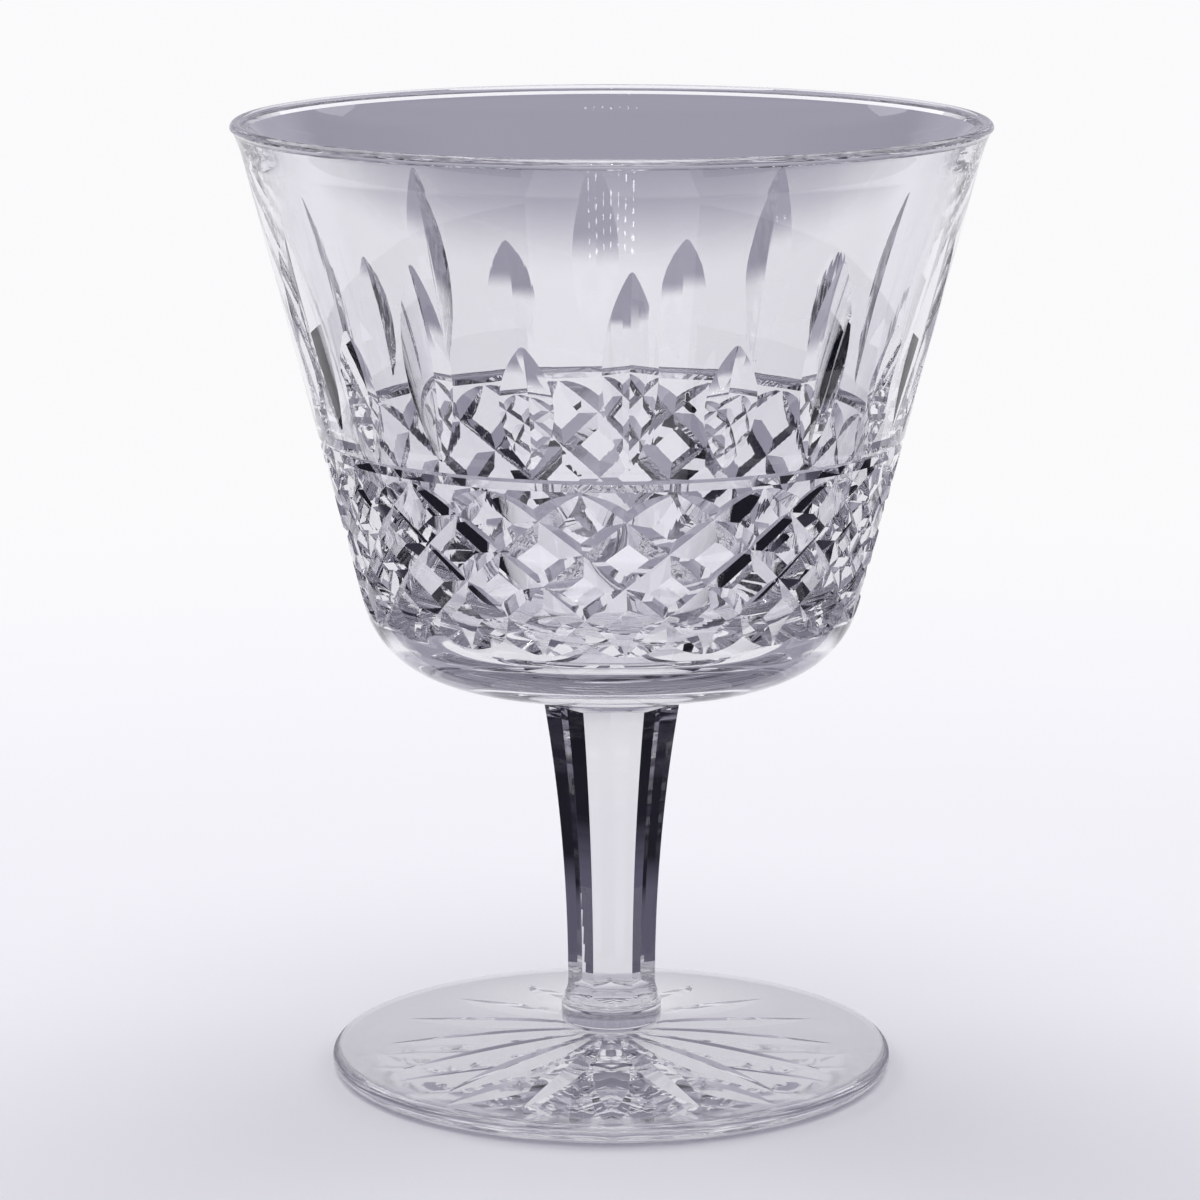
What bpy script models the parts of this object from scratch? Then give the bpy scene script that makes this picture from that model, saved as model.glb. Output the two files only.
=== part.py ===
"""Short-stemmed water goblet in cut crystal: a bowl, a panel-cut stem and a star-cut foot.

Units are metres and +Z is up. The origin is the centre of the foot's underside.
Every cut is a V-shaped groove, as a mitre wheel leaves it, or a flat panel.
"""

import math

import bmesh
import bpy
from mathutils import Matrix, Vector

MM = 0.001

# Foot: a thin disc whose top climbs gently to the seat that carries the stem.
FOOT_RADIUS = 34.3 * MM
FOOT_EDGE_THICKNESS = 2.4 * MM
FOOT_RISE = 2.6 * MM
FOOT_SWEEP = 1.5
SEAT_MARGIN = 0.7 * MM

# Star of radial mitre cuts in the foot's underside.
STAR_RAYS = 16
STAR_ROOT_RADIUS = 2.6 * MM
STAR_TIP_RADIUS = 27.5 * MM
STAR_DEPTH = 1.2 * MM
STAR_ANGLE = math.radians(122)

# Stem: a turned blank with a round collar at its foot, cut to flat panels between.
STEM_LENGTH = 43.3 * MM
COLLAR_RADIUS = 6.1 * MM
COLLAR_HEIGHT = 2.3 * MM
COLLAR_ROUNDING = 0.9 * MM
PANEL_COUNT = 7
PANEL_TURN = math.radians(2.0)
PANEL_CURVE_RADIUS = 210 * MM
PANEL_END_RADIUS = 2.0 * MM
WAIST_RADIUS = 5.45 * MM
WAIST_HEIGHT = 5.2 * MM
NECK_RADIUS = 9.2 * MM
NECK_FILLET = 3.4 * MM

# Bowl: a straight leaning wall, a rounded shoulder and a thick flat base.
BOWL_HEIGHT = 67.0 * MM
RIM_RADIUS = 45.2 * MM
LIP_THICKNESS = 1.5 * MM
LIP_HEIGHT = 4.5 * MM
LIP_FLARE = 0.4 * MM
WALL_LEAN = math.radians(14.4)
WALL_TOP_THICKNESS = 1.75 * MM
WALL_FOOT_THICKNESS = 4.2 * MM
SHOULDER_RADIUS = 12.0 * MM
FLOOR_THICKNESS = 6.6 * MM
INSIDE_CORNER_RADIUS = 9.0 * MM

# Cut decoration on the bowl. Heights are above the bowl's underside.
CUT_COLUMNS = 20
CUT_TURN = math.radians(3.0)
LATTICE_FOOT = 8.0 * MM
DIAMOND_HEIGHT = 8.0 * MM
LATTICE_HALF_ROWS = 5
LATTICE_DEPTH = 1.3 * MM
LATTICE_DEPTH_STEP = 0.08 * MM
LATTICE_ANGLE = math.radians(106)
LATTICE_RUN_OUT = 3.0 * MM
RING_GAP = 0.9 * MM
RING_DEPTH = 0.6 * MM
RING_ANGLE = math.radians(100)
OLIVE_GAP = 1.6 * MM
LONG_OLIVE_LENGTH = 24.0 * MM
SHORT_OLIVE_LENGTH = 15.0 * MM
OLIVE_DEPTH = 1.1 * MM
OLIVE_ANGLE = math.radians(146)

# The three pieces are fused hot on the real goblet. Here they stand this far apart.
JOINT_GAP = 0.3 * MM

# A cutter stands this far out of the glass, and its ends leave the glass by this much.
CUTTER_LIFT = 0.6 * MM
CUTTER_EXIT = 0.15 * MM

# Fineness of the model.
BOWL_STEPS = 64
FOOT_STEPS = 64
STEM_STEPS = 48
ARC_STEPS = 5
LIP_STEPS = 3
CURVE_STEPS = 7
CUT_SECTIONS = 6
SHARP_ANGLE = math.radians(20)
SLIVER = 0.004 * MM

# Heights that follow from the sizes above.
SEAT_Z = FOOT_EDGE_THICKNESS + FOOT_RISE
STEM_Z = SEAT_Z + JOINT_GAP
BOWL_Z = STEM_Z + STEM_LENGTH + JOINT_GAP
LATTICE_HEIGHT = LATTICE_HALF_ROWS * DIAMOND_HEIGHT / 2
LATTICE_TOP = LATTICE_FOOT + LATTICE_HEIGHT
RING_HEIGHT = LATTICE_TOP + RING_GAP
OLIVE_FOOT = RING_HEIGHT + OLIVE_GAP
COLUMN_ANGLE = 2 * math.pi / CUT_COLUMNS
TWIST_PER_HEIGHT = COLUMN_ANGLE / DIAMOND_HEIGHT

GLASS_COLOR = (0.93, 0.93, 0.96, 1.0)
GLASS_ROUGHNESS = 0.02
GLASS_IOR = 1.55


def clear_scene():
    for obj in list(bpy.data.objects):
        bpy.data.objects.remove(obj)


def new_collection(name):
    collection = bpy.data.collections.new(name)
    bpy.context.scene.collection.children.link(collection)
    return collection


def crystal(name):
    material = bpy.data.materials.new(name)
    material.use_nodes = True
    shader = material.node_tree.nodes["Principled BSDF"]
    shader.inputs["Base Color"].default_value = GLASS_COLOR
    shader.inputs["Metallic"].default_value = 0.0
    shader.inputs["Roughness"].default_value = GLASS_ROUGHNESS
    shader.inputs["IOR"].default_value = GLASS_IOR
    shader.inputs["Transmission Weight"].default_value = 1.0
    return material


# Outlines: lists of (radius, height) points for turned shapes.


def arc(centre, radius, start, end, steps=ARC_STEPS):
    """Points on a circle in the outline's plane. Angles run from +radius towards +height."""
    turn = (end - start) / steps
    return [
        (
            centre[0] + radius * math.cos(start + turn * i),
            centre[1] + radius * math.sin(start + turn * i),
        )
        for i in range(steps + 1)
    ]


def wall_radius(height):
    """Outer radius of the bowl's straight wall, at a height above the bowl's underside."""
    return RIM_RADIUS - LIP_FLARE - (BOWL_HEIGHT - height) * math.tan(WALL_LEAN)


def shoulder_centre():
    """Centre of the arc that is tangent to the straight wall and to the flat underside."""
    radius = wall_radius(SHOULDER_RADIUS) - SHOULDER_RADIUS / math.cos(WALL_LEAN)
    return radius, SHOULDER_RADIUS


def outer_surface(height):
    """(radius, lean of the surface from the vertical) of the bowl's outside at a height."""
    centre_radius, centre_height = shoulder_centre()
    tangent_height = centre_height - SHOULDER_RADIUS * math.sin(WALL_LEAN)
    if height >= tangent_height:
        return wall_radius(height), WALL_LEAN
    lean = math.asin((centre_height - height) / SHOULDER_RADIUS)
    return centre_radius + SHOULDER_RADIUS * math.cos(lean), lean


def wall_thickness(height):
    """Thickness of the straight wall, which grows evenly from the lip down to the shoulder."""
    top = BOWL_HEIGHT - LIP_HEIGHT
    share = (top - height) / (top - SHOULDER_RADIUS)
    return WALL_TOP_THICKNESS + (WALL_FOOT_THICKNESS - WALL_TOP_THICKNESS) * share


def inside_radius(height):
    return wall_radius(height) - wall_thickness(height)


def inside_corner():
    """(centre, lean) of the arc between the inside wall and the floor of the bowl."""
    top = BOWL_HEIGHT - LIP_HEIGHT
    lean = math.atan2(inside_radius(top) - inside_radius(SHOULDER_RADIUS), top - SHOULDER_RADIUS)
    height = FLOOR_THICKNESS + INSIDE_CORNER_RADIUS
    radius = inside_radius(height) - INSIDE_CORNER_RADIUS / math.cos(lean)
    return (radius, height), lean


def lip_outline():
    """The flared lip, from the top of the inside wall over the rounded rim to the outside wall."""
    base = BOWL_HEIGHT - LIP_HEIGHT
    half = LIP_THICKNESS / 2
    rise = LIP_HEIGHT - half
    outside = []
    inside = []
    for i in range(LIP_STEPS):
        share = i / LIP_STEPS
        height = base + rise * share
        radius = wall_radius(height) + LIP_FLARE * share**2
        thickness = WALL_TOP_THICKNESS + (LIP_THICKNESS - WALL_TOP_THICKNESS) * share
        outside.append((radius, height))
        inside.append((radius - thickness, height))
    centre = (RIM_RADIUS - half, BOWL_HEIGHT - half)
    rim = arc(centre, half, math.pi, 0)
    return inside + rim + outside[::-1]


def bowl_outline():
    """From the middle of the inside floor up the inside, over the lip and down the outside."""
    corner, lean = inside_corner()
    floor = arc(corner, INSIDE_CORNER_RADIUS, -math.pi / 2, -lean)
    shoulder = arc(shoulder_centre(), SHOULDER_RADIUS, -WALL_LEAN, -math.pi / 2)
    return [(0, FLOOR_THICKNESS)] + floor + lip_outline() + shoulder + [(0, 0)]


def panel_radius(height):
    """Corner radius of the panelled stem above its waist, on the long hollow curve of a panel."""
    above = height - WAIST_HEIGHT
    return WAIST_RADIUS + PANEL_CURVE_RADIUS - math.sqrt(PANEL_CURVE_RADIUS**2 - above**2)


def blank_outline():
    """The turned stem before it is panelled, top to bottom: neck, straight taper and collar."""
    neck_height = STEM_LENGTH - NECK_FILLET
    fillet = arc((NECK_RADIUS + NECK_FILLET, neck_height), NECK_FILLET, math.pi / 2, math.pi)
    top = arc((COLLAR_RADIUS - COLLAR_ROUNDING, COLLAR_HEIGHT), COLLAR_ROUNDING, math.pi / 3, 0)
    bottom_centre = (COLLAR_RADIUS - COLLAR_ROUNDING, COLLAR_ROUNDING)
    bottom = arc(bottom_centre, COLLAR_ROUNDING, 0, -math.pi / 2)
    return [(0, STEM_LENGTH)] + fillet + top + bottom + [(0, 0)]


def panel_outline():
    """Corners of the panels, top to bottom. Both ends sweep out of the blank, in a tight scoop below."""
    outside = NECK_RADIUS + 3 * NECK_FILLET
    top = STEM_LENGTH - NECK_FILLET
    heights = [top + (WAIST_HEIGHT - top) * i / CURVE_STEPS for i in range(CURVE_STEPS)]
    long_curve = [(panel_radius(height), height) for height in heights]
    scoop_centre = (WAIST_RADIUS + PANEL_END_RADIUS, WAIST_HEIGHT)
    scoop = arc(scoop_centre, PANEL_END_RADIUS, math.pi, 1.5 * math.pi)
    lower = WAIST_HEIGHT - PANEL_END_RADIUS
    upper = STEM_LENGTH + NECK_FILLET
    ends_top = [(0, upper), (outside, upper), (outside, STEM_LENGTH)]
    ends_foot = [(outside, lower), (outside, -NECK_FILLET), (0, -NECK_FILLET)]
    return ends_top + long_curve + scoop + ends_foot


def foot_outline():
    """Seat, swept top, rounded edge and flat underside, top to bottom."""
    seat_radius = COLLAR_RADIUS + SEAT_MARGIN
    half = FOOT_EDGE_THICKNESS / 2
    rim_start = FOOT_RADIUS - half
    sweep = []
    for i in range(CURVE_STEPS):
        share = i / CURVE_STEPS
        radius = seat_radius + (rim_start - seat_radius) * share
        sweep.append((radius, FOOT_EDGE_THICKNESS + FOOT_RISE * (1 - share) ** FOOT_SWEEP))
    edge = arc((rim_start, half), half, math.pi / 2, -math.pi / 2)
    return [(0, SEAT_Z)] + sweep + edge + [(0, 0)]


# Objects.


def turned(name, outline, steps, collection, first_step=0.5):
    """A solid of revolution about Z, turned by a Screw modifier.

    The outline stands at first_step, in steps from +X, so that the flats of two shapes can miss each other.
    """
    mesh = bpy.data.meshes.new(name)
    start = Matrix.Rotation(2 * math.pi * first_step / steps, 3, "Z")
    points = [start @ Vector((radius, 0, height)) for radius, height in outline]
    mesh.from_pydata(points, [(i, i + 1) for i in range(len(points) - 1)], [])
    obj = bpy.data.objects.new(name, mesh)
    collection.objects.link(obj)
    screw = obj.modifiers.new("turn", "SCREW")
    screw.angle = 2 * math.pi
    screw.steps = steps
    screw.render_steps = steps
    screw.use_merge_vertices = True
    screw.merge_threshold = 1e-5
    screw.use_smooth_shade = True
    return obj


def mitre(bm, places, half_angle):
    """Adds one V-shaped cutter along a path to bm.

    Each place is (point on the surface, outward normal, depth of the cut there).
    """
    rings = []
    last = len(places) - 1
    for i, (point, normal, depth) in enumerate(places):
        along = places[min(i + 1, last)][0] - places[max(i - 1, 0)][0]
        across = along.cross(normal).normalized()
        reach = across * (depth + CUTTER_LIFT) * math.tan(half_angle)
        top = point + normal * CUTTER_LIFT
        corners = (point - normal * depth, top + reach, top - reach)
        rings.append([bm.verts.new(corner) for corner in corners])
    for ring, following in zip(rings, rings[1:]):
        for i in range(3):
            j = (i + 1) % 3
            bm.faces.new((ring[i], ring[j], following[j], following[i]))
    bm.faces.new(rings[0][::-1])
    bm.faces.new(rings[-1])


def cutter(name, cuts, angle, collection):
    """One hidden object that holds several separate mitre cutters."""
    bm = bmesh.new()
    for places in cuts:
        mitre(bm, places, angle / 2)
    bmesh.ops.recalc_face_normals(bm, faces=bm.faces)
    mesh = bpy.data.meshes.new(name)
    bm.to_mesh(mesh)
    bm.free()
    obj = bpy.data.objects.new(name, mesh)
    collection.objects.link(obj)
    hide(obj)
    return obj


def hide(obj):
    obj.hide_render = True
    obj.display_type = "WIRE"


def combine(obj, other, operation):
    modifier = obj.modifiers.new(other.name, "BOOLEAN")
    modifier.operation = operation
    modifier.solver = "EXACT"
    modifier.object = other


def lens(share):
    """Depth along an olive or star cut as a share of the deepest: none at the ends, full in the middle."""
    return 4 * share * (1 - share)


def with_exit(depth):
    """A depth of nothing becomes a small height above the glass, so that the cutter's end is clear of it."""
    return depth if depth > 0 else -CUTTER_EXIT


def bowl_place(height, angle, depth):
    """A place for mitre() on the outside of the bowl."""
    radius, lean = outer_surface(height)
    turn = Matrix.Rotation(angle, 3, "Z")
    point = turn @ Vector((radius, 0, height))
    normal = turn @ Vector((math.cos(lean), 0, -math.sin(lean)))
    return point, normal, with_exit(depth)


def column_angle(column):
    """Angle of a column of the bowl's decoration. Column 0 faces -Y, a little turned."""
    return CUT_TURN - math.pi / 2 + column * COLUMN_ANGLE


def lattice_cut(column, way):
    """One slanting cut of the diamond lattice, rising to the right (way 1) or to the left (way -1)."""
    places = []
    for i in range(CUT_SECTIONS + 1):
        share = i / CUT_SECTIONS
        climb = LATTICE_HEIGHT * share
        angle = column_angle(column) + way * TWIST_PER_HEIGHT * climb
        end = min(climb, LATTICE_HEIGHT - climb)
        ease = min(1.0, end / LATTICE_RUN_OUT)
        deepest = LATTICE_DEPTH - LATTICE_DEPTH_STEP * (way < 0)
        depth = deepest * (1 - (1 - ease) ** 2)
        places.append(bowl_place(LATTICE_FOOT + climb, angle, depth))
    return places


def olive_cut(column, length):
    """One upright olive: a groove that is pointed at both ends."""
    places = []
    for i in range(CUT_SECTIONS + 1):
        share = i / CUT_SECTIONS
        height = OLIVE_FOOT + length * share
        places.append(bowl_place(height, column_angle(column), OLIVE_DEPTH * lens(share)))
    return places


def star_cut(ray):
    """One ray of the star, along a radius of the foot's flat underside."""
    direction = Matrix.Rotation(2 * math.pi * ray / STAR_RAYS, 3, "Z") @ Vector((0, -1, 0))
    places = []
    for i in range(CUT_SECTIONS + 1):
        share = i / CUT_SECTIONS
        radius = STAR_ROOT_RADIUS + (STAR_TIP_RADIUS - STAR_ROOT_RADIUS) * share
        depth = with_exit(STAR_DEPTH * lens(share))
        places.append((direction * radius, Vector((0, 0, -1)), depth))
    return places


def ring_outline():
    """Section of the ring-shaped cutter above the lattice, as a closed triangle, top to bottom."""
    radius, lean = outer_surface(RING_HEIGHT)
    out = Vector((math.cos(lean), -math.sin(lean)))
    up = Vector((math.sin(lean), math.cos(lean)))
    on_wall = Vector((radius, RING_HEIGHT))
    reach = up * (RING_DEPTH + CUTTER_LIFT) * math.tan(RING_ANGLE / 2)
    top = on_wall + out * CUTTER_LIFT
    bottom = on_wall - out * RING_DEPTH
    return [tuple(corner) for corner in (bottom, top + reach, top - reach, bottom)]


def make_bowl(parts, cutters):
    bowl = turned("bowl", bowl_outline(), BOWL_STEPS, parts)
    columns = range(CUT_COLUMNS)
    tools = [
        cutter("lattice_right", [lattice_cut(c, 1) for c in columns], LATTICE_ANGLE, cutters),
        cutter("lattice_left", [lattice_cut(c, -1) for c in columns], LATTICE_ANGLE, cutters),
        turned("band_ring", ring_outline(), BOWL_STEPS, cutters, first_step=0),
        cutter("long_olives", [olive_cut(c, LONG_OLIVE_LENGTH) for c in columns[::2]], OLIVE_ANGLE, cutters),
        cutter("short_olives", [olive_cut(c, SHORT_OLIVE_LENGTH) for c in columns[1::2]], OLIVE_ANGLE, cutters),
    ]
    for tool in tools:
        hide(tool)
        tool.location.z = BOWL_Z
        combine(bowl, tool, "DIFFERENCE")
    bowl.location.z = BOWL_Z
    return bowl


def make_stem(parts, cutters):
    stem = turned("stem", blank_outline(), STEM_STEPS, parts)
    panels = turned("stem_panels", panel_outline(), PANEL_COUNT, cutters)
    hide(panels)
    panels.rotation_euler.z = PANEL_TURN - math.pi / 2
    panels.location.z = STEM_Z
    stem.location.z = STEM_Z
    combine(stem, panels, "INTERSECT")
    return stem


def make_foot(parts, cutters):
    foot = turned("foot", foot_outline(), FOOT_STEPS, parts)
    rays = range(STAR_RAYS)
    for name, half in (("star_even", rays[::2]), ("star_odd", rays[1::2])):
        combine(foot, cutter(name, [star_cut(ray) for ray in half], STAR_ANGLE, cutters), "DIFFERENCE")
    return foot


def finish(piece):
    """Makes the cut shape the piece's own mesh: smooth where it is round, crisp at every cut's edge."""
    weld = piece.modifiers.new("weld", "WELD")
    weld.merge_threshold = SLIVER
    depsgraph = bpy.context.evaluated_depsgraph_get()
    mesh = bpy.data.meshes.new_from_object(piece.evaluated_get(depsgraph))
    piece.modifiers.clear()
    piece.data = mesh
    mesh.shade_smooth()
    mesh.set_sharp_from_angle(angle=SHARP_ANGLE)
    mesh.materials.clear()
    mesh.materials.append(crystal(piece.name + "_crystal"))


def main():
    clear_scene()
    parts = new_collection("water_goblet")
    cutters = new_collection("cutters")
    finish(make_bowl(parts, cutters))
    finish(make_stem(parts, cutters))
    finish(make_foot(parts, cutters))


main()
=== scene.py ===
"""Short-stemmed water goblet in cut crystal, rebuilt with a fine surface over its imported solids.

Units are metres, +Z is up and -Y faces the camera, as in the frame.
"""

import math

import bmesh
import bpy
from mathutils import Matrix, Vector


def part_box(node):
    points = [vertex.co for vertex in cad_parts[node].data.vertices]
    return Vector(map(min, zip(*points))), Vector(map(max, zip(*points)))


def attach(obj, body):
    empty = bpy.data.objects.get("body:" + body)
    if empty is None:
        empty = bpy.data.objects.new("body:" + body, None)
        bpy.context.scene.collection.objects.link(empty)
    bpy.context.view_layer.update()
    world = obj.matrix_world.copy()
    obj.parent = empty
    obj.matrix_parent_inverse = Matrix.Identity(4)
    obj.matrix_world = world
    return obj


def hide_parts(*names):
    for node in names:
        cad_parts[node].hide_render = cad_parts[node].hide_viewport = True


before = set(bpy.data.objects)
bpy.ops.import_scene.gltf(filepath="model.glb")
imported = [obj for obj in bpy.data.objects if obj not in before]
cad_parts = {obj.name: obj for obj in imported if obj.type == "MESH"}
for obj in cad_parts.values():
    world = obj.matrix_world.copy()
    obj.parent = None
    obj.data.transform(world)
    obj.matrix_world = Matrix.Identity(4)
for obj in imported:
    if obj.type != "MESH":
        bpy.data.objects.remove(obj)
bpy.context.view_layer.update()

MM = 0.001

# Heights and main radii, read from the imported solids.
_, foot_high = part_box("foot")
bowl_low, bowl_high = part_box("bowl")
FOOT_RADIUS = foot_high[0]
SEAT_Z = foot_high[2]
BOWL_Z = bowl_low[2]
BOWL_HEIGHT = bowl_high[2] - bowl_low[2]
RIM_RADIUS = bowl_high[0]
STEM_LENGTH = BOWL_Z - SEAT_Z

# Foot.
FOOT_EDGE_THICKNESS = 2.4 * MM
FOOT_SWEEP = 1.5
SEAT_MARGIN = 0.7 * MM
STAR_RAYS = 16
STAR_ROOT_RADIUS = 2.6 * MM
STAR_TIP_RADIUS = 27.5 * MM
STAR_DEPTH = 1.2 * MM
STAR_ANGLE = math.radians(122)

# Stem.
COLLAR_RADIUS = 6.1 * MM
COLLAR_HEIGHT = 2.6 * MM
COLLAR_ROUNDING = 0.9 * MM
PANEL_COUNT = 7
PANEL_TURN = math.radians(2.0)
PANEL_CURVE_RADIUS = 210 * MM
PANEL_END_RADIUS = 2.0 * MM
WAIST_RADIUS = 5.45 * MM
WAIST_HEIGHT = 5.5 * MM
NECK_RADIUS = 9.2 * MM
NECK_FILLET = 3.4 * MM

# Bowl.
LIP_THICKNESS = 1.5 * MM
LIP_HEIGHT = 4.5 * MM
LIP_FLARE = 0.4 * MM
WALL_LEAN = math.radians(14.4)
WALL_TOP_THICKNESS = 1.75 * MM
WALL_FOOT_THICKNESS = 4.2 * MM
SHOULDER_RADIUS = 12.0 * MM
FLOOR_THICKNESS = 6.6 * MM
INSIDE_CORNER_RADIUS = 9.0 * MM

# Cut decoration on the bowl. Heights are above the bowl's underside.
CUT_COLUMNS = 20
CUT_TURN = math.radians(3.0)
LATTICE_FOOT = 8.0 * MM
DIAMOND_HEIGHT = 8.0 * MM
LATTICE_HALF_ROWS = 5
LATTICE_DEPTH = 1.3 * MM
LATTICE_DEPTH_STEP = 0.08 * MM
LATTICE_ANGLE = math.radians(106)
LATTICE_RUN_OUT = 3.0 * MM
RING_GAP = 0.9 * MM
RING_DEPTH = 0.6 * MM
RING_ANGLE = math.radians(100)
OLIVE_GAP = 1.6 * MM
LONG_OLIVE_LENGTH = 24.0 * MM
SHORT_OLIVE_LENGTH = 15.0 * MM
OLIVE_DEPTH = 1.1 * MM
OLIVE_ANGLE = math.radians(146)
CUTTER_LIFT = 0.6 * MM
CUTTER_EXIT = 0.15 * MM

LATTICE_HEIGHT = LATTICE_HALF_ROWS * DIAMOND_HEIGHT / 2
RING_HEIGHT = LATTICE_FOOT + LATTICE_HEIGHT + RING_GAP
OLIVE_FOOT = RING_HEIGHT + OLIVE_GAP
COLUMN_ANGLE = 2 * math.pi / CUT_COLUMNS
TWIST_PER_HEIGHT = COLUMN_ANGLE / DIAMOND_HEIGHT

# Fineness.
BOWL_STEPS = 360
FOOT_STEPS = 288
STEM_STEPS = 192
ARC_STEPS = 20
LIP_STEPS = 10
CURVE_STEPS = 40
CUT_SECTIONS = 40
MERGE_DISTANCE = 0.001 * MM
SHARP_ANGLE = math.radians(12)

# A face belongs to a fused joint if it is this near the joint's plane and its normal is this upright.
JOINT_TOLERANCE = 0.002 * MM
JOINT_UPRIGHT = 0.999

# Glass. The stem's tint is the deepest, partly for the long path through its solid glass and partly as
# painted shade that darkens the stem. Each tint varies a little over the piece.
GLASS_IOR = 1.545
GLASS_TINT_AND_SHADE = {
    "bowl": (0.925, 0.920, 0.950),
    "stem": (0.800, 0.795, 0.830),
    "foot": (0.925, 0.920, 0.950),
}
TINT_SPREAD = 0.012
TINT_SCALE = 30.0

# Waves left by blowing, drawing and pressing: how many to a metre along X, Y and Z, and their height.
GLASS_WAVES = {
    "bowl": ((55.0, 55.0, 40.0), 0.014 * MM),
    "stem": ((220.0, 220.0, 30.0), 0.005 * MM),
    "foot": ((90.0, 90.0, 90.0), 0.009 * MM),
}
WAVE_DETAIL = 1.0

# Polish dulled by use, on the rim, the collar and the ring that the foot stands on. Each entry gives the
# heights and the radii between which it grows to its full roughness, and that roughness.
RIM_Z = BOWL_Z + BOWL_HEIGHT
COLLAR_Z = SEAT_Z + COLLAR_HEIGHT
ANY_RADIUS = (0.0, 1 * MM)
GLASS_WEAR = {
    "bowl": ((RIM_Z - 0.5 * MM, RIM_Z), ANY_RADIUS, 0.03),
    "stem": ((COLLAR_Z, COLLAR_Z - 1.4 * MM), ANY_RADIUS, 0.02),
    "foot": ((0.3 * MM, 0.1 * MM), (STAR_TIP_RADIUS, STAR_TIP_RADIUS + 3 * MM), 0.20),
}
WEAR_SCALE = 900.0

# Camera. The sensor's width is in Blender's millimetres.
FRAME_PIXELS = 1200
FOCAL_PIXELS = 4750.7
SENSOR_WIDTH = 36.0
CAMERA_NEAR = 0.01
CAMERA_PLACE = Vector((-0.00138, -0.5622, 0.1717))
CAMERA_PITCH = math.radians(11.457)

# Table.
TABLE_RADIUS = 0.50
TABLE_SIDES = 256
TABLE_DROP = 0.2 * MM
TABLE_COLOUR = (0.96, 0.96, 0.97, 1.0)
TABLE_FADE = (0.12, 0.40)
# Share of painted white glow in the table where the glass shows it.
TABLE_IN_GLASS = 0.60

# Room. Its wall glows with painted light, in tones that darken upwards, and each tone has a height. The
# painted window's edge is given by cosines of bearings from +Y, and the pale top by heights, where each
# starts and where it is full.
ROOM_RADIUS = 1.00
ROOM_SLOPE_HEIGHT = 0.60
ROOM_HEIGHT = 1.3
WALL_TONES = (
    (0.0, TABLE_COLOUR),
    (0.05, (0.80, 0.80, 0.84, 1.0)),
    (0.12, (0.54, 0.53, 0.60, 1.0)),
    (0.60, (0.34, 0.33, 0.39, 1.0)),
    (1.00, (0.20, 0.19, 0.24, 1.0)),
)
# Painted dark that the wall shows in reflections.
ROOM_DARK_COLOUR = (0.014, 0.013, 0.022, 1.0)
WINDOW_EDGE = (math.cos(math.radians(62)), math.cos(math.radians(45)))
WINDOW_TOP = (0.45, 0.65)

# Grey card behind the goblet. Before it is scaled, each of its sides is twice the half side.
CARD_HALF_SIDE = 0.5
CARD_PLACE = 0.37
CARD_WIDTH = 0.60
CARD_HEIGHT = 0.12
CARD_COLOUR = (0.38, 0.37, 0.44, 1.0)
CARD_LIFT = 21 * MM
CARD_SOFT_FOOT = 22 * MM
CARD_SOFT_SIDE = 0.15

# Dark flags. Spans are bearings from +Y in degrees. Edges and the way up a louvre are (radius, height).
FLAG_TONES = ((0.12, 0.115, 0.16, 1.0), (0.005, 0.005, 0.009, 1.0))
FLAG_STEP = (16 * MM, 24 * MM)
FLAG_SIDES = 24
FLAG_INNER = (36 * MM, 0.5 * MM)
SIDE_FLAG_SPAN = (66, 155)
SIDE_FLAG_OUTER = (100 * MM, 52 * MM)
BACK_FLAG_SPAN = (16.5, 22)
BACK_FLAG_OUTER = (90 * MM, 40 * MM)
LOUVRE_COUNT = 18
LOUVRE_TOP = Vector((-5.0 * MM, 6.0 * MM))

# Lights. Each softbox has a name, a place, a diameter and a radiance. A panel of small lights makes glints.
LIGHT_TARGET = Vector((0, 0, 0.05))
SOFTBOXES = (
    ("top_softbox", Vector((0, 0, 1.15)), 1.10, 1.6),
    ("left_softbox", Vector((-0.58, 0.52, 0.75)), 0.90, 1.7),
    ("right_softbox", Vector((0.58, 0.52, 0.75)), 0.90, 1.4),
)
GLINT_PLACE = Vector((0, -0.85, 0.55))
GLINT_COUNT = (7, 7)
GLINT_PITCH = (45 * MM, 5 * MM)
GLINT_SIZE = (9 * MM, 2.4 * MM)
GLINT_SIDES = 12
GLINT_RADIANCE = 60.0
LIGHT_BOUNCES = 64


def arc(centre, radius, start, end, steps=ARC_STEPS):
    """Points on a circle in the outline's plane. Angles run from +radius towards +height."""
    turn = (end - start) / steps
    return [
        (
            centre[0] + radius * math.cos(start + turn * i),
            centre[1] + radius * math.sin(start + turn * i),
        )
        for i in range(steps + 1)
    ]


def wall_radius(height):
    """Outer radius of the bowl's straight wall, at a height above the bowl's underside."""
    return RIM_RADIUS - LIP_FLARE - (BOWL_HEIGHT - height) * math.tan(WALL_LEAN)


def shoulder_centre():
    """Centre of the arc that is tangent to the straight wall and to the flat underside."""
    radius = wall_radius(SHOULDER_RADIUS) - SHOULDER_RADIUS / math.cos(WALL_LEAN)
    return radius, SHOULDER_RADIUS


def outer_surface(height):
    """(radius, lean of the surface from the vertical) of the bowl's outside at a height."""
    centre_radius, centre_height = shoulder_centre()
    tangent_height = centre_height - SHOULDER_RADIUS * math.sin(WALL_LEAN)
    if height >= tangent_height:
        return wall_radius(height), WALL_LEAN
    lean = math.asin((centre_height - height) / SHOULDER_RADIUS)
    return centre_radius + SHOULDER_RADIUS * math.cos(lean), lean


def wall_thickness(height):
    """Thickness of the straight wall, which grows evenly from the lip down to the shoulder."""
    top = BOWL_HEIGHT - LIP_HEIGHT
    share = (top - height) / (top - SHOULDER_RADIUS)
    return WALL_TOP_THICKNESS + (WALL_FOOT_THICKNESS - WALL_TOP_THICKNESS) * share


def inside_radius(height):
    return wall_radius(height) - wall_thickness(height)


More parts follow.
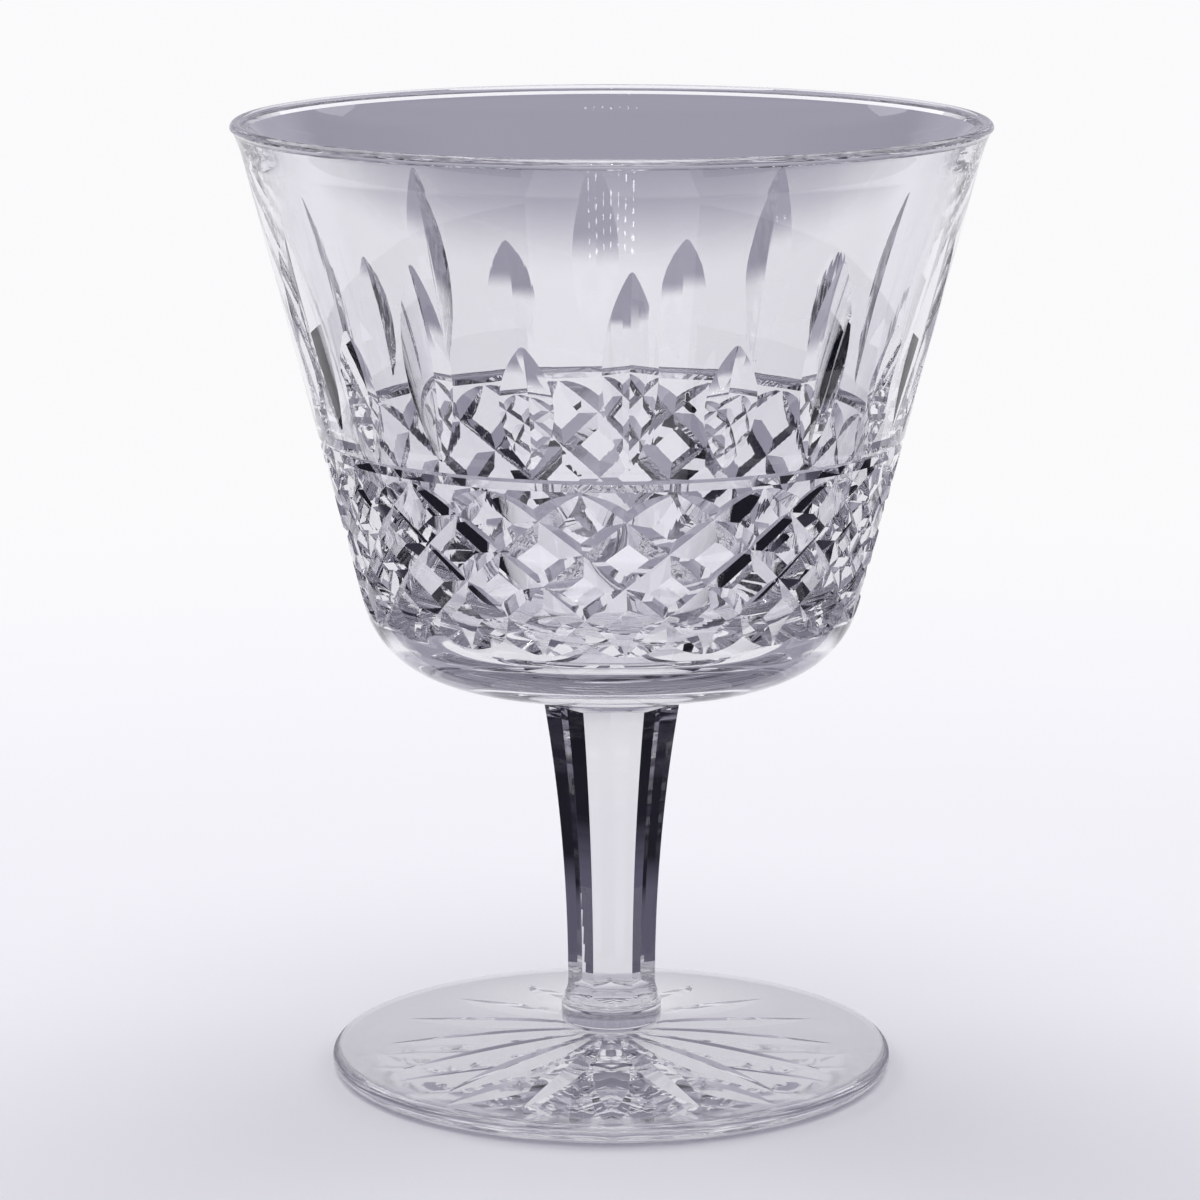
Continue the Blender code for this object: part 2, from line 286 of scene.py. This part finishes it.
def inside_corner():
    """(centre, lean) of the arc between the inside wall and the floor of the bowl."""
    top = BOWL_HEIGHT - LIP_HEIGHT
    lean = math.atan2(inside_radius(top) - inside_radius(SHOULDER_RADIUS), top - SHOULDER_RADIUS)
    height = FLOOR_THICKNESS + INSIDE_CORNER_RADIUS
    radius = inside_radius(height) - INSIDE_CORNER_RADIUS / math.cos(lean)
    return (radius, height), lean


def lip_outline():
    """The flared lip, from the top of the inside wall over the rounded rim to the outside wall."""
    base = BOWL_HEIGHT - LIP_HEIGHT
    half = LIP_THICKNESS / 2
    rise = LIP_HEIGHT - half
    outside = []
    inside = []
    for i in range(LIP_STEPS):
        share = i / LIP_STEPS
        height = base + rise * share
        radius = wall_radius(height) + LIP_FLARE * share**2
        thickness = WALL_TOP_THICKNESS + (LIP_THICKNESS - WALL_TOP_THICKNESS) * share
        outside.append((radius, height))
        inside.append((radius - thickness, height))
    centre = (RIM_RADIUS - half, BOWL_HEIGHT - half)
    rim = arc(centre, half, math.pi, 0)
    return inside + rim + outside[::-1]


def bowl_outline():
    """From the middle of the inside floor up the inside, over the lip and down the outside."""
    corner, lean = inside_corner()
    floor = arc(corner, INSIDE_CORNER_RADIUS, -math.pi / 2, -lean)
    shoulder = arc(shoulder_centre(), SHOULDER_RADIUS, -WALL_LEAN, -math.pi / 2)
    joint = (NECK_RADIUS + NECK_FILLET, 0)
    return [(0, FLOOR_THICKNESS)] + floor + lip_outline() + shoulder + [joint, (0, 0)]


def panel_radius(height):
    """Corner radius of the panelled stem above its waist, on the long hollow curve of a panel."""
    above = height - WAIST_HEIGHT
    return WAIST_RADIUS + PANEL_CURVE_RADIUS - math.sqrt(PANEL_CURVE_RADIUS**2 - above**2)


def blank_outline():
    """The turned stem before it is panelled, top to bottom: neck, straight taper and collar."""
    neck_height = STEM_LENGTH - NECK_FILLET
    fillet = arc((NECK_RADIUS + NECK_FILLET, neck_height), NECK_FILLET, math.pi / 2, math.pi)
    top = arc((COLLAR_RADIUS - COLLAR_ROUNDING, COLLAR_HEIGHT), COLLAR_ROUNDING, math.pi / 3, 0)
    bottom_centre = (COLLAR_RADIUS - COLLAR_ROUNDING, COLLAR_ROUNDING)
    bottom = arc(bottom_centre, COLLAR_ROUNDING, 0, -math.pi / 2)
    return [(0, STEM_LENGTH)] + fillet + top + bottom + [(0, 0)]


def panel_outline():
    """Corners of the panels, top to bottom. Both ends sweep out of the blank, in a tight scoop below."""
    outside = NECK_RADIUS + 3 * NECK_FILLET
    top = STEM_LENGTH - NECK_FILLET
    heights = [top + (WAIST_HEIGHT - top) * i / CURVE_STEPS for i in range(CURVE_STEPS)]
    long_curve = [(panel_radius(height), height) for height in heights]
    scoop_centre = (WAIST_RADIUS + PANEL_END_RADIUS, WAIST_HEIGHT)
    scoop = arc(scoop_centre, PANEL_END_RADIUS, math.pi, 1.5 * math.pi)
    lower = WAIST_HEIGHT - PANEL_END_RADIUS
    upper = STEM_LENGTH + NECK_FILLET
    ends_top = [(0, upper), (outside, upper), (outside, STEM_LENGTH)]
    ends_foot = [(outside, lower), (outside, -NECK_FILLET), (0, -NECK_FILLET)]
    return ends_top + long_curve + scoop + ends_foot


def foot_outline():
    """Seat, swept top, rounded edge and flat underside, top to bottom."""
    seat_radius = COLLAR_RADIUS + SEAT_MARGIN
    half = FOOT_EDGE_THICKNESS / 2
    rim_start = FOOT_RADIUS - half
    rise = SEAT_Z - FOOT_EDGE_THICKNESS
    joint = (COLLAR_RADIUS - COLLAR_ROUNDING, SEAT_Z)
    sweep = []
    for i in range(CURVE_STEPS):
        share = i / CURVE_STEPS
        radius = seat_radius + (rim_start - seat_radius) * share
        sweep.append((radius, FOOT_EDGE_THICKNESS + rise * (1 - share) ** FOOT_SWEEP))
    edge = arc((rim_start, half), half, math.pi / 2, -math.pi / 2)
    return [(0, SEAT_Z), joint] + sweep + edge + [(0, 0)]


def ring_outline():
    """Corners of the triangular section of the ring-shaped cutter above the lattice."""
    radius, lean = outer_surface(RING_HEIGHT)
    out = Vector((math.cos(lean), -math.sin(lean)))
    up = Vector((math.sin(lean), math.cos(lean)))
    on_wall = Vector((radius, RING_HEIGHT))
    reach = up * (RING_DEPTH + CUTTER_LIFT) * math.tan(RING_ANGLE / 2)
    top = on_wall + out * CUTTER_LIFT
    bottom = on_wall - out * RING_DEPTH
    return [bottom, top + reach, top - reach]


def linked(name, data):
    obj = bpy.data.objects.new(name, data)
    bpy.context.scene.collection.objects.link(obj)
    return obj


def mesh_of(bm, name):
    """A mesh with what is in bm. The bm is used up."""
    mesh = bpy.data.meshes.new(name)
    bm.to_mesh(mesh)
    bm.free()
    return mesh


def turned(name, outline, steps, first_step=0.5, closed=False):
    """A shape turned about Z. The outline stands at first_step, in steps from +X.

    A closed outline is joined end to start. An open one makes a solid if both its ends are on the axis.
    """
    mesh = bpy.data.meshes.new(name)
    start = Matrix.Rotation(2 * math.pi * first_step / steps, 3, "Z")
    points = [start @ Vector((radius, 0, height)) for radius, height in outline]
    edges = [(i - 1, i) for i in range(1, len(points))]
    if closed:
        edges.append((len(points) - 1, 0))
    mesh.from_pydata(points, edges, [])
    obj = linked(name, mesh)
    screw = obj.modifiers.new("turn", "SCREW")
    screw.angle = 2 * math.pi
    screw.steps = steps
    screw.render_steps = steps
    screw.use_merge_vertices = True
    screw.merge_threshold = MERGE_DISTANCE
    screw.use_smooth_shade = True
    return obj


def mitre(bm, places, half_angle):
    """Adds one V-shaped cutter along a path to bm.

    Each place is (point on the surface, outward normal, depth of the cut there).
    """
    rings = []
    last = len(places) - 1
    for i, (point, normal, depth) in enumerate(places):
        along = places[min(i + 1, last)][0] - places[max(i - 1, 0)][0]
        across = along.cross(normal).normalized()
        reach = across * (depth + CUTTER_LIFT) * math.tan(half_angle)
        top = point + normal * CUTTER_LIFT
        corners = (point - normal * depth, top + reach, top - reach)
        rings.append([bm.verts.new(corner) for corner in corners])
    for ring, following in zip(rings, rings[1:]):
        for i in range(3):
            j = (i + 1) % 3
            bm.faces.new((ring[i], ring[j], following[j], following[i]))
    bm.faces.new(rings[0][::-1])
    bm.faces.new(rings[-1])


def cutter(name, cuts, angle):
    """One object that holds several separate mitre cutters."""
    bm = bmesh.new()
    for places in cuts:
        mitre(bm, places, angle / 2)
    bmesh.ops.recalc_face_normals(bm, faces=bm.faces)
    return linked(name, mesh_of(bm, name))


def lens(share):
    """Depth along an olive or star cut as a share of the deepest: none at the ends, full in the middle."""
    return 4 * share * (1 - share)


def with_exit(depth):
    """The depth, or where it is nothing a small height above the glass, to keep the cutter's end clear."""
    return depth if depth > 0 else -CUTTER_EXIT


def bowl_place(height, angle, depth):
    """A place on the outside of the bowl, in the form that mitre() takes."""
    radius, lean = outer_surface(height)
    turn = Matrix.Rotation(angle, 3, "Z")
    point = turn @ Vector((radius, 0, height))
    normal = turn @ Vector((math.cos(lean), 0, -math.sin(lean)))
    return point, normal, with_exit(depth)


def column_angle(column):
    """Angle of a column of the bowl's decoration. Column 0 faces -Y, a little turned."""
    return CUT_TURN - math.pi / 2 + column * COLUMN_ANGLE


def lattice_cut(column, way):
    """One slanting cut of the diamond lattice, rising to the right (way 1) or to the left (way -1)."""
    places = []
    for i in range(CUT_SECTIONS + 1):
        climb = LATTICE_HEIGHT * i / CUT_SECTIONS
        angle = column_angle(column) + way * TWIST_PER_HEIGHT * climb
        end = min(climb, LATTICE_HEIGHT - climb)
        ease = min(1.0, end / LATTICE_RUN_OUT)
        deepest = LATTICE_DEPTH - LATTICE_DEPTH_STEP * (way < 0)
        depth = deepest * (1 - (1 - ease) ** 2)
        places.append(bowl_place(LATTICE_FOOT + climb, angle, depth))
    return places


def olive_cut(column, length):
    """One upright olive: a groove that is pointed at both ends."""
    places = []
    for i in range(CUT_SECTIONS + 1):
        share = i / CUT_SECTIONS
        height = OLIVE_FOOT + length * share
        places.append(bowl_place(height, column_angle(column), OLIVE_DEPTH * lens(share)))
    return places


def star_cut(ray):
    """One ray of the star, along a radius of the foot's flat underside."""
    direction = Matrix.Rotation(2 * math.pi * ray / STAR_RAYS, 3, "Z") @ Vector((0, -1, 0))
    places = []
    for i in range(CUT_SECTIONS + 1):
        share = i / CUT_SECTIONS
        radius = STAR_ROOT_RADIUS + (STAR_TIP_RADIUS - STAR_ROOT_RADIUS) * share
        depth = with_exit(STAR_DEPTH * lens(share))
        places.append((direction * radius, Vector((0, 0, -1)), depth))
    return places


def carved(body, tools, operation):
    """The mesh of a body after its tools have cut it. The body and the tools are used up."""
    for tool in tools:
        modifier = body.modifiers.new(tool.name, "BOOLEAN")
        modifier.operation = operation
        modifier.solver = "MANIFOLD"
        modifier.object = tool
    depsgraph = bpy.context.evaluated_depsgraph_get()
    mesh = bpy.data.meshes.new_from_object(body.evaluated_get(depsgraph))
    for obj in [body] + tools:
        bpy.data.objects.remove(obj)
    mesh.shade_smooth()
    mesh.set_sharp_from_angle(angle=SHARP_ANGLE)
    return mesh


def bowl_mesh():
    columns = range(CUT_COLUMNS)
    tools = [
        cutter("lattice_right", [lattice_cut(c, 1) for c in columns], LATTICE_ANGLE),
        cutter("lattice_left", [lattice_cut(c, -1) for c in columns], LATTICE_ANGLE),
        turned("band_ring", ring_outline(), BOWL_STEPS, first_step=0, closed=True),
        cutter("long_olives", [olive_cut(c, LONG_OLIVE_LENGTH) for c in columns[::2]], OLIVE_ANGLE),
        cutter("short_olives", [olive_cut(c, SHORT_OLIVE_LENGTH) for c in columns[1::2]], OLIVE_ANGLE),
    ]
    return carved(turned("bowl_blank", bowl_outline(), BOWL_STEPS), tools, "DIFFERENCE")


def stem_mesh():
    panels = turned("stem_panels", panel_outline(), PANEL_COUNT)
    panels.rotation_euler.z = PANEL_TURN - math.pi / 2
    return carved(turned("stem_blank", blank_outline(), STEM_STEPS), [panels], "INTERSECT")


def foot_mesh():
    rays = range(STAR_RAYS)
    tools = [
        cutter("star_even", [star_cut(ray) for ray in rays[::2]], STAR_ANGLE),
        cutter("star_odd", [star_cut(ray) for ray in rays[1::2]], STAR_ANGLE),
    ]
    return carved(turned("foot_blank", foot_outline(), FOOT_STEPS), tools, "DIFFERENCE")


class Nodes:
    """A new material, and its nodes as they are added."""

    def __init__(self, name):
        self.material = bpy.data.materials.new(name)
        self.material.use_nodes = True
        self.tree = self.material.node_tree
        self.tree.nodes.clear()

    def add(self, kind, inputs=None, **settings):
        """Adds a node. Each input is a plain value or another node's output."""
        node = self.tree.nodes.new("ShaderNode" + kind)
        for name, value in settings.items():
            setattr(node, name, value)
        for socket, value in (inputs or {}).items():
            if isinstance(value, bpy.types.NodeSocket):
                self.tree.links.new(value, node.inputs[socket])
            else:
                node.inputs[socket].default_value = value
        return node

    def place(self):
        return self.add("TexCoord").outputs["Object"]

    def path(self, question):
        """What the ray has met so far."""
        return self.add("LightPath").outputs[question]

    def mirrored(self):
        """1 if a reflection brought the ray here, else 0."""
        return self.math("MINIMUM", self.path("Glossy Depth"), 1.0)

    def part(self, vector, axis):
        return self.add("SeparateXYZ", {"Vector": vector}).outputs[axis]

    def vector(self, operation, first, second=(0, 0, 0), output="Vector"):
        return self.add("VectorMath", {0: first, 1: second}, operation=operation).outputs[output]

    def math(self, operation, first, second=0.0):
        return self.add("Math", {0: first, 1: second}, operation=operation).outputs["Value"]

    def grown(self, value, limits, smooth=True):
        """Grows from 0 to 1 as a value runs from the first limit to the second."""
        inputs = {"Value": value, "From Min": limits[0], "From Max": limits[1]}
        kind = "SMOOTHSTEP" if smooth else "LINEAR"
        return self.add("MapRange", inputs, interpolation_type=kind).outputs["Result"]

    def tone(self, factor, stops):
        """A colour from a ramp with stops at (position, colour), lowest first."""
        ramp = self.add("ValToRGB", {"Fac": factor})
        elements = ramp.color_ramp.elements
        while len(elements) < len(stops):
            elements.new(1.0)
        for element, (position, colour) in zip(elements, stops):
            element.position = position
            element.color = colour
        return ramp.outputs["Color"]

    def noise(self, vector, scale, detail=2.0):
        return self.add("TexNoise", {"Vector": vector, "Scale": scale, "Detail": detail}).outputs["Fac"]

    def glow(self, colour, strength=1.0):
        return self.add("Emission", {"Color": colour, "Strength": strength}).outputs["Emission"]

    def clear(self):
        return self.add("BsdfTransparent").outputs["BSDF"]

    def mix(self, factor, first, second):
        return self.add("MixShader", {"Fac": factor, 1: first, 2: second}).outputs["Shader"]

    def finished(self, shader):
        """The material, with a shader on its surface."""
        self.add("OutputMaterial", {"Surface": shader})
        return self.material


def crystal(node):
    """Clear glass with a slightly uneven tint, faint waves in its surface and polish dulled by use."""
    nodes = Nodes(node + "_crystal")
    place = nodes.place()
    # The stem's deeper tint is partly painted shade.
    stops = []
    for position, change in ((0, -TINT_SPREAD), (1, TINT_SPREAD)):
        shifted = [channel + change for channel in GLASS_TINT_AND_SHADE[node]]
        stops.append((position, (*shifted, 1.0)))
    tint = nodes.tone(nodes.noise(place, TINT_SCALE), stops)

    waves_per_metre, wave_height = GLASS_WAVES[node]
    stretched = nodes.add("Mapping", {"Vector": place, "Scale": waves_per_metre}).outputs["Vector"]
    waves = nodes.noise(stretched, 1.0, WAVE_DETAIL)
    normal = nodes.add("Bump", {"Height": waves, "Distance": wave_height}).outputs["Normal"]

    heights, radii, full_roughness = GLASS_WEAR[node]
    radius = nodes.vector("LENGTH", nodes.vector("MULTIPLY", place, (1, 1, 0)), output="Value")
    at_height = nodes.grown(nodes.part(place, "Z"), heights, smooth=False)
    at_radius = nodes.grown(radius, radii, smooth=False)
    patches = nodes.noise(place, WEAR_SCALE)
    worn = nodes.math("MULTIPLY", nodes.math("MULTIPLY", at_height, at_radius), patches)
    roughness = nodes.math("MULTIPLY", worn, full_roughness)

    inputs = {
        "Base Color": tint,
        "Roughness": roughness,
        "Normal": normal,
        "IOR": GLASS_IOR,
        "Transmission Weight": 1.0,
    }
    return nodes.finished(nodes.add("BsdfPrincipled", inputs).outputs["BSDF"])


def fused_joint():
    """Lets light straight through where two pieces of glass are fused, so that they show as one body."""
    nodes = Nodes("fused_joint")
    return nodes.finished(nodes.clear())


def in_joint(face, joint_height, radius):
    near = abs(face.center.z - joint_height) < JOINT_TOLERANCE
    flat = abs(face.normal.z) > JOINT_UPRIGHT
    return near and flat and face.center.xy.length < radius


def piece(node, mesh, height, joints, joint_material):
    """One piece of glass in place of its CAD node.

    joints lists (height in the mesh, radius) of the flat discs where the piece is fused to its neighbours.
    """
    mesh.materials.clear()
    mesh.materials.append(crystal(node))
    mesh.materials.append(joint_material)
    for face in mesh.polygons:
        face.material_index = int(any(in_joint(face, *joint) for joint in joints))
    mesh.transform(Matrix.Translation((0, 0, height)))
    obj = linked(node + "_cut_crystal", mesh)
    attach(obj, "root")
    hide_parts(node)


def make_goblet():
    joint_material = fused_joint()
    neck_joint = NECK_RADIUS + NECK_FILLET
    collar_joint = COLLAR_RADIUS - COLLAR_ROUNDING
    piece("bowl", bowl_mesh(), BOWL_Z, [(0, neck_joint)], joint_material)
    piece("stem", stem_mesh(), SEAT_Z, [(0, collar_joint), (STEM_LENGTH, neck_joint)], joint_material)
    piece("foot", foot_mesh(), 0, [(SEAT_Z, collar_joint)], joint_material)


def make_camera():
    camera = bpy.data.cameras.new("camera")
    camera.sensor_width = SENSOR_WIDTH
    camera.lens = FOCAL_PIXELS / FRAME_PIXELS * SENSOR_WIDTH
    camera.clip_start = CAMERA_NEAR
    obj = linked("camera", camera)
    obj.location = CAMERA_PLACE
    obj.rotation_euler = (math.pi / 2 - CAMERA_PITCH, 0, 0)
    bpy.context.scene.camera = obj


def table_paper():
    """Pale paper. Away from the goblet it turns plain white, and through the glass it partly glows plain
    white, painted light over the shade beneath the glass.
    """
    nodes = Nodes("table_paper")
    paper = nodes.add("BsdfDiffuse", {"Color": TABLE_COLOUR}).outputs["BSDF"]
    distance = nodes.vector("LENGTH", nodes.place(), output="Value")
    not_diffuse = nodes.math("SUBTRACT", 1.0, nodes.path("Is Diffuse Ray"))
    far = nodes.math("MULTIPLY", nodes.grown(distance, TABLE_FADE), not_diffuse)
    # Through the glass the table partly glows white: painted light in place of lamp light passing through
    # the glass.
    in_glass = nodes.math("MULTIPLY", nodes.path("Is Transmission Ray"), TABLE_IN_GLASS)
    white = nodes.math("MAXIMUM", far, in_glass)
    return nodes.finished(nodes.mix(white, paper, nodes.glow(TABLE_COLOUR)))


def make_table():
    bm = bmesh.new()
    bmesh.ops.create_circle(bm, cap_ends=True, segments=TABLE_SIDES, radius=TABLE_RADIUS)
    table = linked("table", mesh_of(bm, "table"))
    table.location.z = -TABLE_DROP
    table.data.materials.append(table_paper())


def unseen(obj):
    """Stage that only the glass shows: the camera does not see it, and it throws no shadow."""
    obj.visible_camera = False
    obj.visible_shadow = False


def room_wall():
    """Pale painted light, glowing where it shows straight through the glass.

    By way of a reflection it is painted dark, but for a painted window of light behind the goblet and the
    room's upper part.
    """
    nodes = Nodes("room_wall")
    place = nodes.place()
    height = nodes.part(place, "Z")
    stops = [(level / ROOM_HEIGHT, colour) for level, colour in WALL_TONES]
    tones = nodes.tone(nodes.grown(height, (0.0, ROOM_HEIGHT), smooth=False), stops)
    bearing = nodes.vector("NORMALIZE", nodes.vector("MULTIPLY", place, (1, 1, 0)))
    window = nodes.grown(nodes.part(bearing, "Y"), WINDOW_EDGE)
    lit = nodes.math("MAXIMUM", window, nodes.grown(height, WINDOW_TOP))
    straight = nodes.math("SUBTRACT", 1.0, nodes.mirrored())
    pale = nodes.math("MAXIMUM", lit, straight)
    return nodes.finished(nodes.mix(pale, nodes.glow(ROOM_DARK_COLOUR), nodes.glow(tones)))


def make_room():
    """A round room about the table, with a sloping foot."""
    outline = [
        (0, ROOM_HEIGHT),
        (ROOM_RADIUS, ROOM_HEIGHT),
        (ROOM_RADIUS, ROOM_SLOPE_HEIGHT),
        (TABLE_RADIUS, -TABLE_DROP),
    ]
    room = turned("room", outline, TABLE_SIDES)
    room.data.materials.append(room_wall())
    unseen(room)


def card_grey():
    """Grey that fades out at the card's foot and at both its sides."""
    nodes = Nodes("grey_card")
    place = nodes.place()
    full_height = CARD_SOFT_FOOT / CARD_HEIGHT - CARD_HALF_SIDE
    foot = nodes.grown(nodes.part(place, "Y"), (-CARD_HALF_SIDE, full_height))
    off_centre = nodes.math("ABSOLUTE", nodes.part(place, "X"))
    side = nodes.grown(off_centre, (CARD_HALF_SIDE, CARD_HALF_SIDE - CARD_SOFT_SIDE / CARD_WIDTH))
    cover = nodes.math("MULTIPLY", foot, side)
    return nodes.finished(nodes.mix(cover, nodes.clear(), nodes.glow(CARD_COLOUR)))


def make_card():
    """A soft-edged grey card behind the goblet, which shades the upper part of the bowl."""
    bm = bmesh.new()
    bmesh.ops.create_grid(bm, x_segments=1, y_segments=1, size=CARD_HALF_SIDE)
    card = linked("grey_card", mesh_of(bm, "grey_card"))
    card.scale = (CARD_WIDTH, CARD_HEIGHT, 1)
    card.rotation_euler.x = math.pi / 2
    card.location = (0, CARD_PLACE, CARD_LIFT + CARD_HEIGHT / 2)
    card.data.materials.append(card_grey())
    card.visible_diffuse = False
    card.visible_glossy = False
    unseen(card)


def flag_black(name, by_mirror):
    """A black that pales towards the table.

    With by_mirror, only light that the glass has reflected shows it. Without, only light that comes
    straight through does, and then only on the side that faces the goblet.
    """
    nodes = Nodes(name)
    height = nodes.grown(nodes.part(nodes.place(), "Z"), FLAG_STEP, smooth=False)
    shade = nodes.glow(nodes.tone(height, list(enumerate(FLAG_TONES))))
    if by_mirror:
        return nodes.finished(nodes.mix(nodes.mirrored(), nodes.clear(), shade))
    backfacing = nodes.add("NewGeometry").outputs["Backfacing"]
    hidden = nodes.math("MAXIMUM", nodes.mirrored(), backfacing)
    return nodes.finished(nodes.mix(hidden, shade, nodes.clear()))


def make_flag(name, span, sections, by_mirror):
    """A pair of dark cards, left and right, swept about the goblet through a span of bearings.

    Each section is a line, (radius, height) of its foot and of its top. The cards' fronts face the goblet.
    """
    material = flag_black(name, by_mirror)
    start, end = (math.radians(bearing) for bearing in span)
    for side in (-1, 1):
        bm = bmesh.new()
        for section in sections:
            edges = []
            for i in range(FLAG_SIDES + 1):
                bearing = side * (start + (end - start) * i / FLAG_SIDES)
                way = Vector((math.sin(bearing), math.cos(bearing), 0))
                ends = [way * radius + Vector((0, 0, level)) for radius, level in section[::-side]]
                edges.append([bm.verts.new(point) for point in ends])
            for edge, following in zip(edges, edges[1:]):
                bm.faces.new((edge[0], edge[1], following[1], following[0]))
        flag = linked(name, mesh_of(bm, name))
        flag.data.materials.append(material)
        flag.visible_diffuse = False
        unseen(flag)


def make_flags():
    """Dark cards that draw the edges of the glass. The back ones are louvred, and clear from above."""
    inner = Vector(FLAG_INNER)
    step = (Vector(BACK_FLAG_OUTER) - inner) / LOUVRE_COUNT
    feet = [inner + step * i for i in range(LOUVRE_COUNT)]
    make_flag("back_flag", BACK_FLAG_SPAN, [(foot, foot + LOUVRE_TOP) for foot in feet], by_mirror=False)
    make_flag("side_flag", SIDE_FLAG_SPAN, [(FLAG_INNER, SIDE_FLAG_OUTER)], by_mirror=True)


def aim(obj, place):
    """Puts a light in its place, pointing at the goblet."""
    obj.location = place
    obj.rotation_euler = (LIGHT_TARGET - place).to_track_quat("-Z", "Y").to_euler()


def make_softbox(name, place, diameter, radiance):
    """A round softbox. It lights the table and mirrors in the glass, but does not show through it."""
    lamp = bpy.data.lights.new(name, "AREA")
    lamp.shape = "DISK"
    lamp.size = diameter
    area = math.pi * diameter**2 / 4
    lamp.energy = radiance * math.pi * area
    softbox = linked(name, lamp)
    aim(softbox, place)
    softbox.visible_transmission = False


def make_light_panel():
    """Rows of small lights above and behind the camera, which glint in the glass."""
    bm = bmesh.new()
    columns, rows = GLINT_COUNT
    for column in range(columns):
        for row in range(rows):
            across = (column - (columns - 1) / 2) * GLINT_PITCH[0]
            along = (row - (rows - 1) / 2) * GLINT_PITCH[1]
            place = Matrix.Translation((across, along, 0)) @ Matrix.Diagonal((*GLINT_SIZE, 1, 1))
            bmesh.ops.create_circle(bm, cap_ends=True, segments=GLINT_SIDES, radius=0.5, matrix=place)
    panel = linked("light_panel", mesh_of(bm, "light_panel"))
    nodes = Nodes("small_lights")
    panel.data.materials.append(nodes.finished(nodes.glow((1, 1, 1, 1), GLINT_RADIANCE)))
    aim(panel, GLINT_PLACE)
    panel.visible_diffuse = False
    unseen(panel)


def make_backdrop():
    world = bpy.data.worlds.new("backdrop")
    world.use_nodes = True
    world.node_tree.nodes["Background"].inputs["Color"].default_value = TABLE_COLOUR
    bpy.context.scene.world = world


def make_stage():
    make_table()
    make_room()
    make_card()
    make_flags()
    for softbox in SOFTBOXES:
        make_softbox(*softbox)
    make_light_panel()
    make_backdrop()


def main():
    scene = bpy.context.scene
    scene.view_settings.view_transform = "Standard"
    scene.cycles.max_bounces = LIGHT_BOUNCES
    scene.cycles.glossy_bounces = LIGHT_BOUNCES
    scene.cycles.transmission_bounces = LIGHT_BOUNCES
    scene.cycles.transparent_max_bounces = LIGHT_BOUNCES
    scene.cycles.blur_glossy = 0.0
    make_goblet()
    make_camera()
    make_stage()


main()
